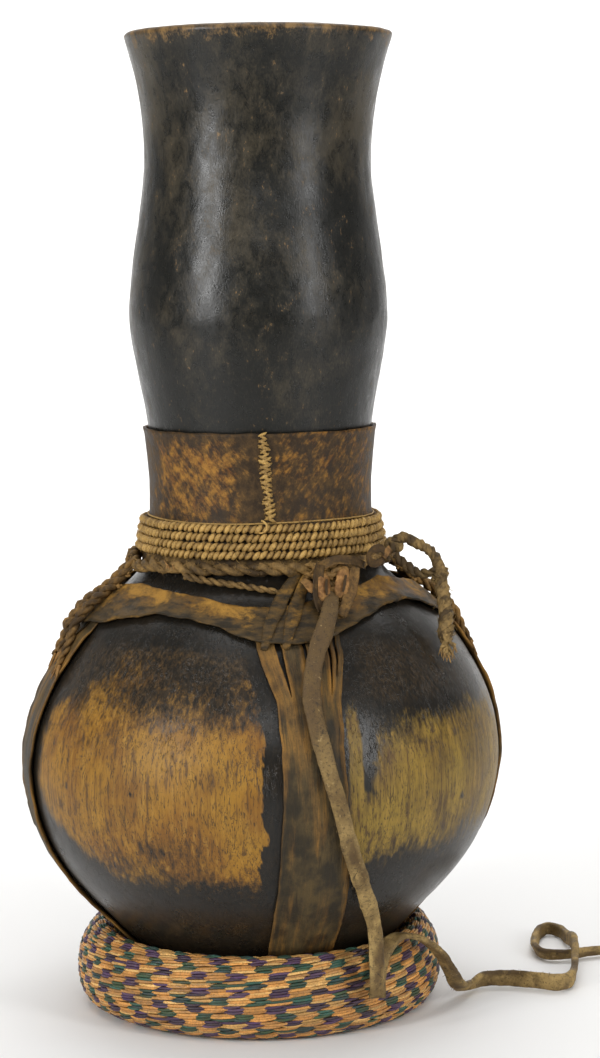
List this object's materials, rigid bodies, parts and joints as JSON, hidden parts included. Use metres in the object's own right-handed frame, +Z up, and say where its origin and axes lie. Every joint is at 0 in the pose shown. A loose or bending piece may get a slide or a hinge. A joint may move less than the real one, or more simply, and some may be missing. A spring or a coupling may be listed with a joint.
{
  "type": "lidded wooden vessel on ring stand",
  "caption": "Round wooden vessel with a tall cup lid, rawhide collar, hide strap harness, carrying thong and a woven straw ring stand.",
  "frame": {"origin": "centre of the base of the straw ring, on the surface it stands on", "axes": "+Z up the vessel's axis, front of the vessel towards -Y"},
  "size_m": [0.3017, 0.2196, 0.4368],
  "materials": {
    "carved_wood": "smoked, oiled and worn",
    "lid_wood": "blackened satin",
    "rawhide_collar": "worn rawhide",
    "plant_fibre": "coiled plant fibre",
    "hide_rope": "twisted hide",
    "hide_band": "worn hide",
    "hide_strap": "dry hide",
    "hide_thong": "dry hide",
    "woven_straw": "woven straw",
    "straw_core": "bundled grass"
  },
  "bodies": {
    "ring_stand": {"stand_cover": "woven_straw", "stand_core": "straw_core", "stand_seam": "plant_fibre"},
    "vessel": {"vessel_body": "carved_wood", "neck_collar": "rawhide_collar", "collar_seam_stitches": "plant_fibre", "binding_row_1": "plant_fibre", "binding_row_2": "plant_fibre", "binding_row_3": "plant_fibre", "binding_row_4": "plant_fibre", "neck_rope": "hide_rope", "shoulder_ring": "hide_band", "strap_front": "hide_strap", "strap_right": "hide_strap", "strap_back": "hide_strap", "strap_left": "hide_strap", "base_patch": "hide_strap", "lacing_front": "hide_rope", "lacing_right": "hide_rope", "lacing_back": "hide_rope", "lacing_left": "hide_rope", "thong_knot": "hide_rope", "carrying_thong": "hide_thong"},
    "lid": {"lid_cup": "lid_wood"},
    "hanging_rope": {"carrying_loop": "hide_rope", "loop_tail": "hide_rope"}
  },
  "joints": [
    {"name": "vessel_lift", "type": "slide", "parent": "ring_stand", "child": "vessel", "axis": [0, 0, 1], "range_m": [0, 0.08]},
    {"name": "lid_lift", "type": "slide", "parent": "vessel", "child": "lid", "axis": [0, 0, 1], "range_m": [0, 0.12]},
    {"name": "rope_swing", "type": "hinge", "parent": "vessel", "child": "hanging_rope", "pos_m": [0.059, -0.024, 0.2085], "axis": [-0.3768, -0.9263, 0], "range_deg": [0, 60]}
  ]
}
